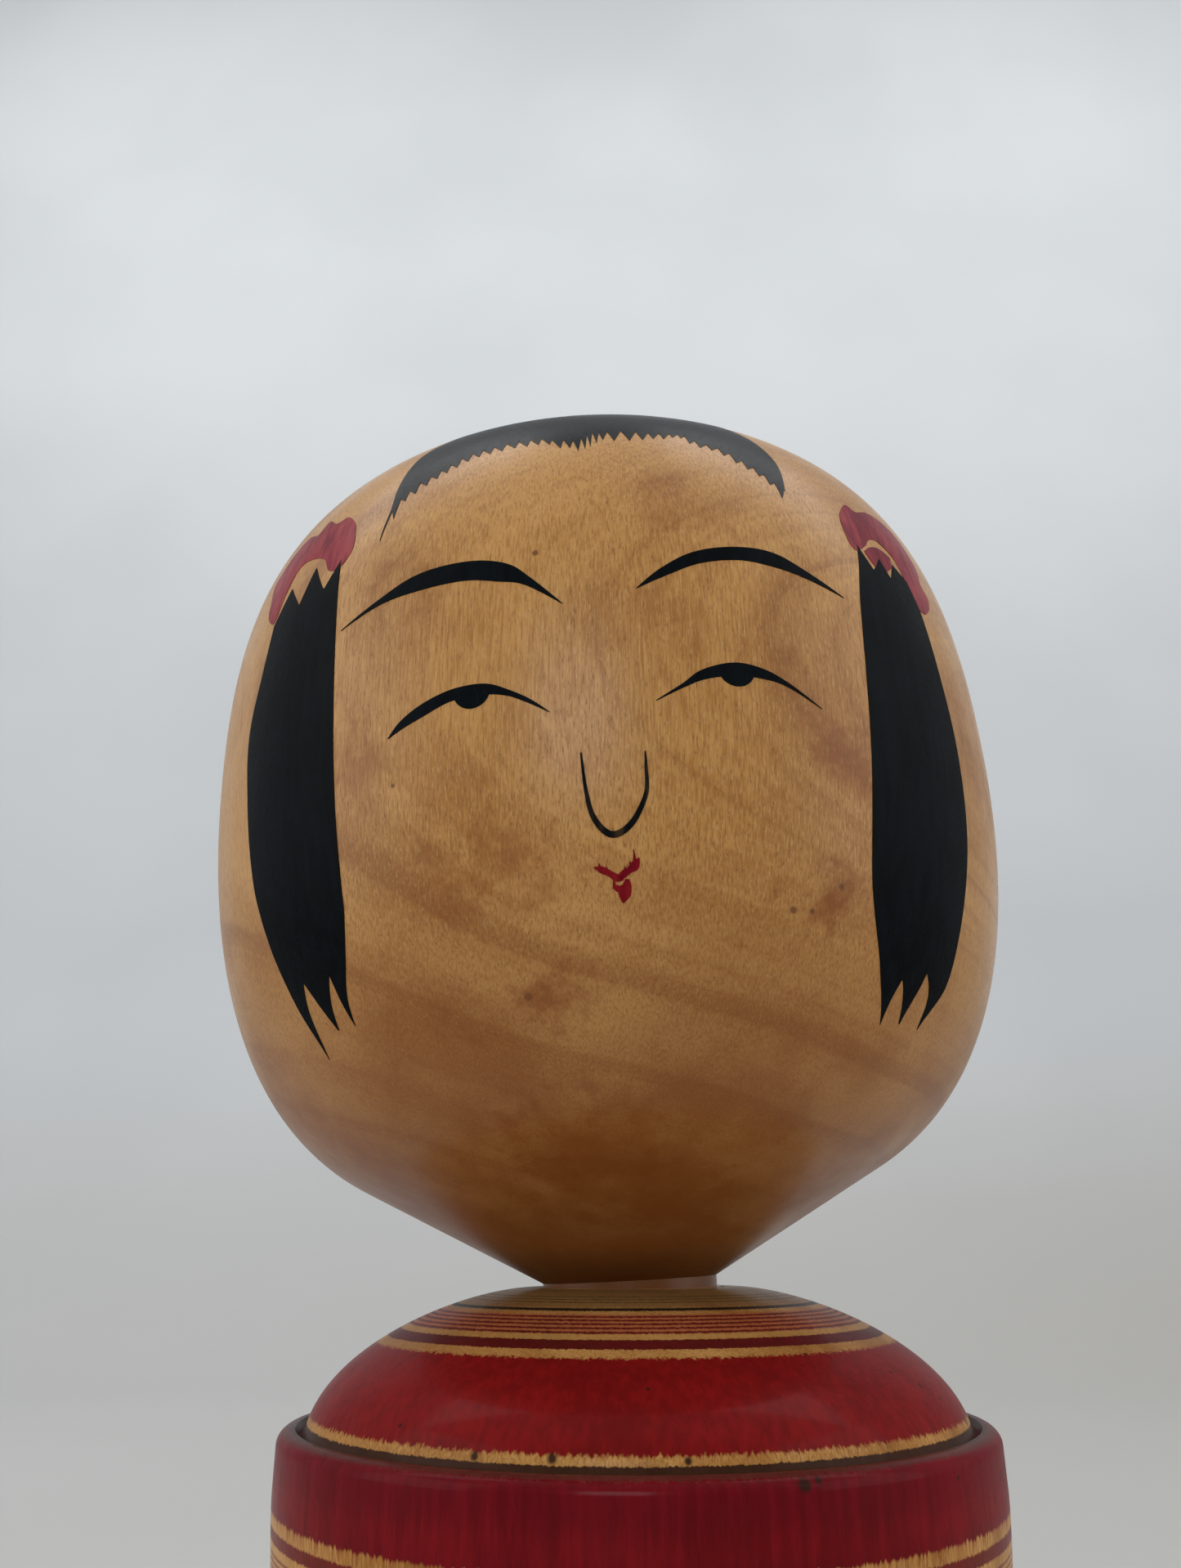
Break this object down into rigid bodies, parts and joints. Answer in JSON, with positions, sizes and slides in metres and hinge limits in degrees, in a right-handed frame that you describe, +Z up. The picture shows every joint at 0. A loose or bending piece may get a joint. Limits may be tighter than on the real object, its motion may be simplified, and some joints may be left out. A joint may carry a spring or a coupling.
{
  "type": "kokeshi doll",
  "caption": "Turned wooden doll with a large round head on a waisted cylindrical body; the head plugs into a socket in the shoulder and turns without limit.",
  "frame": {"origin": "centre of the flat foot, on the surface that the doll stands on", "axes": "+Z up along the body's turning axis; the painted face looks along -Y; the head leans 2.6 degrees towards -X"},
  "size_m": [0.0807, 0.0806, 0.2401],
  "materials": {
    "body_wood": "turned hardwood with dyed lathe bands under a waxed, varnished surface",
    "head_wood": "turned hardwood aged to honey amber, brush painted and varnished"
  },
  "bodies": {
    "body": {"body": "body_wood"},
    "head": {"head": "head_wood"}
  },
  "joints": [
    {"name": "head_turn", "type": "hinge", "parent": "body", "child": "head", "pos_m": [0, 0, 0.1495], "axis": [-0.0454, 0, 0.999], "continuous": true}
  ]
}
